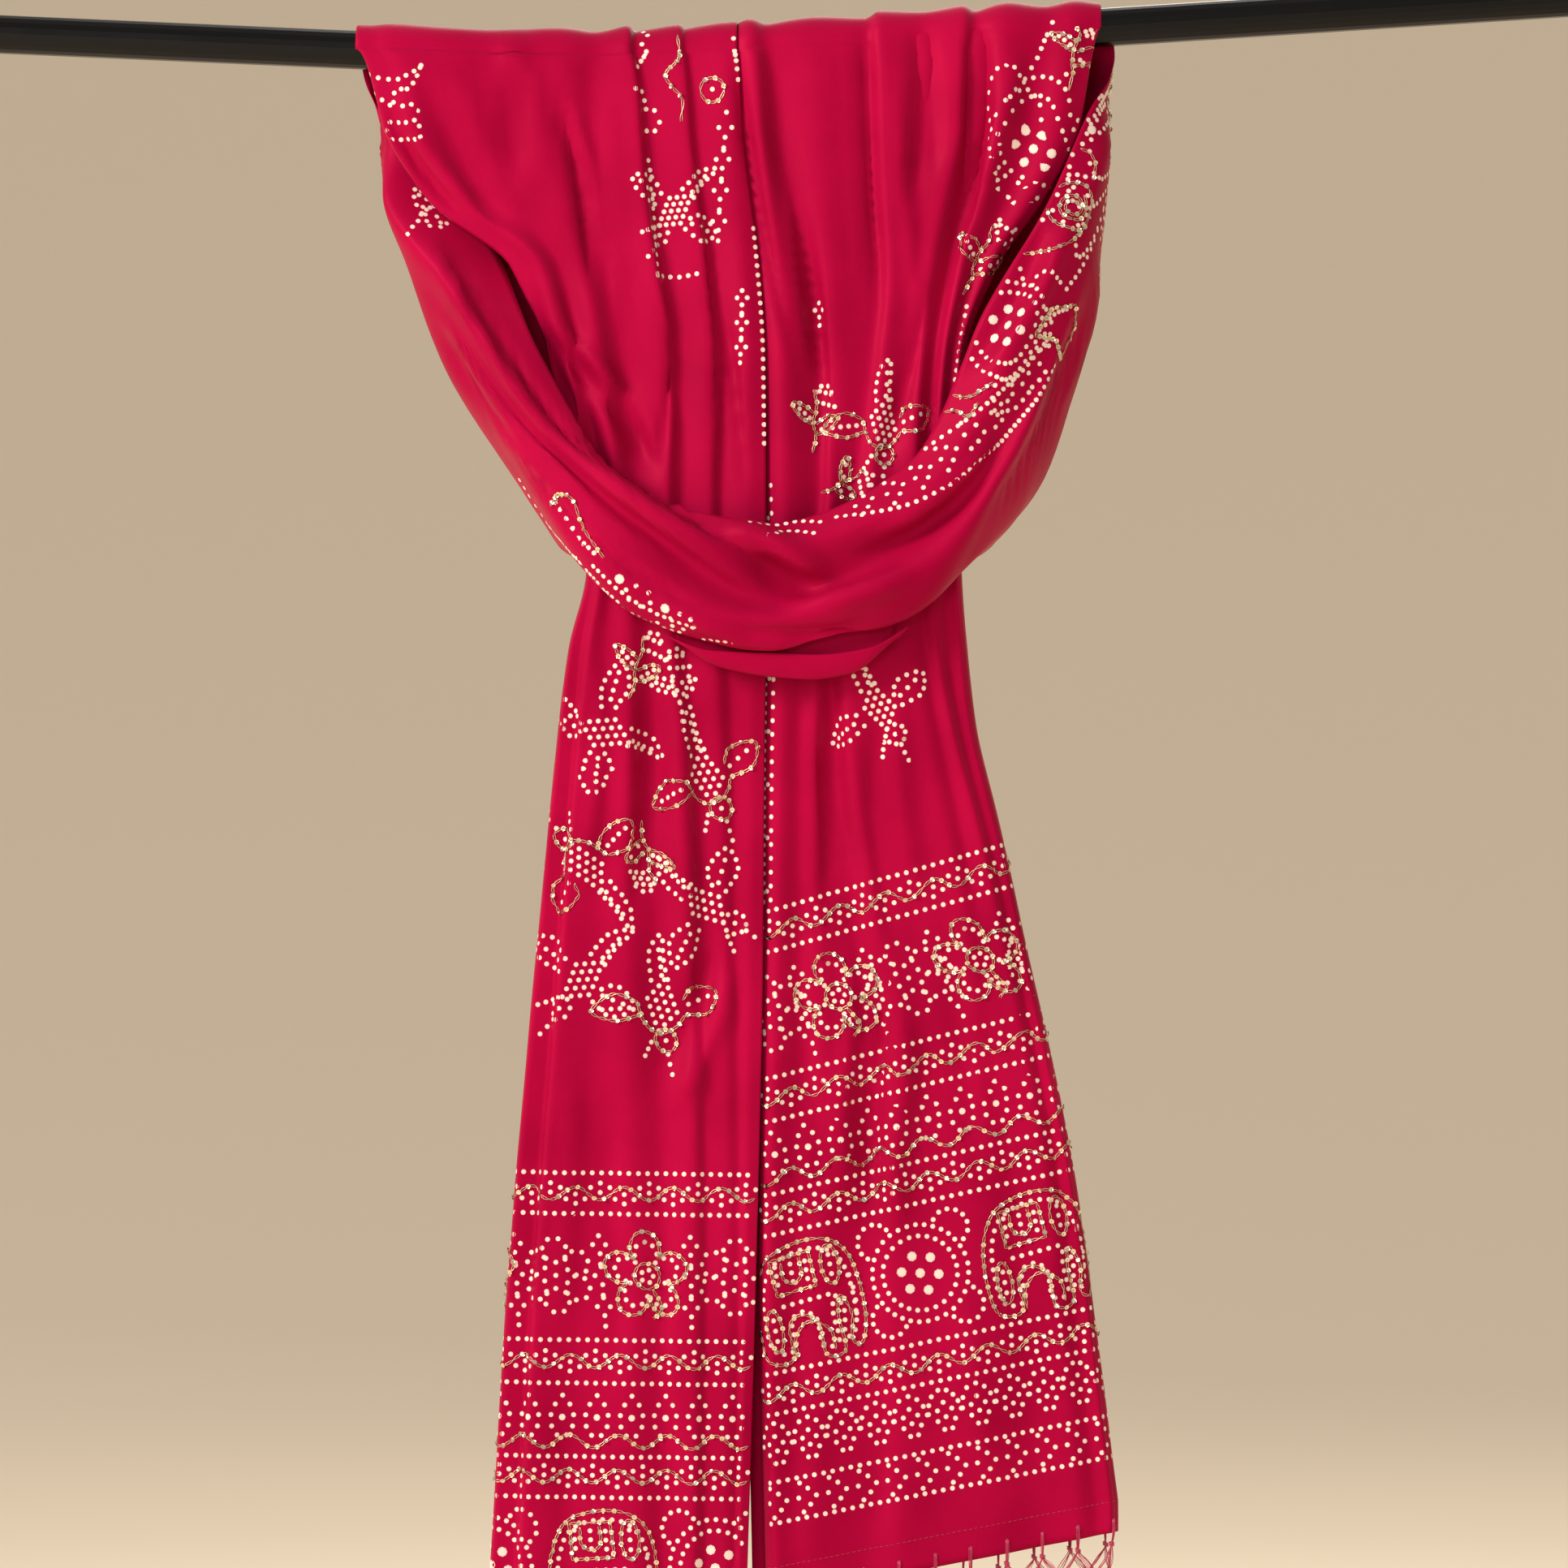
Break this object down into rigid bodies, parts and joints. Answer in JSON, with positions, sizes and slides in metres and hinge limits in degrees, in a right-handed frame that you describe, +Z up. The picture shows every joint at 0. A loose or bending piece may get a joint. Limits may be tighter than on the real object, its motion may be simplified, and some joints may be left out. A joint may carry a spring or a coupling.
{
  "type": "dupatta stole on a rod",
  "caption": "Printed and sequinned dupatta stole looped over a round rod with a cow hitch, with a swag in front, two hanging tails, turned hems and knotted fringe.",
  "frame": {"origin": "on the rod's axis, above the gap between the two tails", "axes": "+Z up, +X along the rod to the viewer's right, -Y to the front, where the swag is"},
  "size_m": [0.901, 0.0842, 1.017],
  "materials": {
    "cloth": "satin weave, soft sheen",
    "fringe": "silky thread",
    "rod": "gloss black enamel"
  },
  "bodies": {
    "root": {"rod": "rod", "left_tail": "cloth", "right_tail": "cloth", "left_arm": "cloth", "right_arm": "cloth", "swag": "cloth", "swag_fold": "cloth", "left_hem": "cloth", "right_hem": "cloth", "left_fringe": "fringe", "right_fringe": "fringe"}
  },
  "joints": []
}
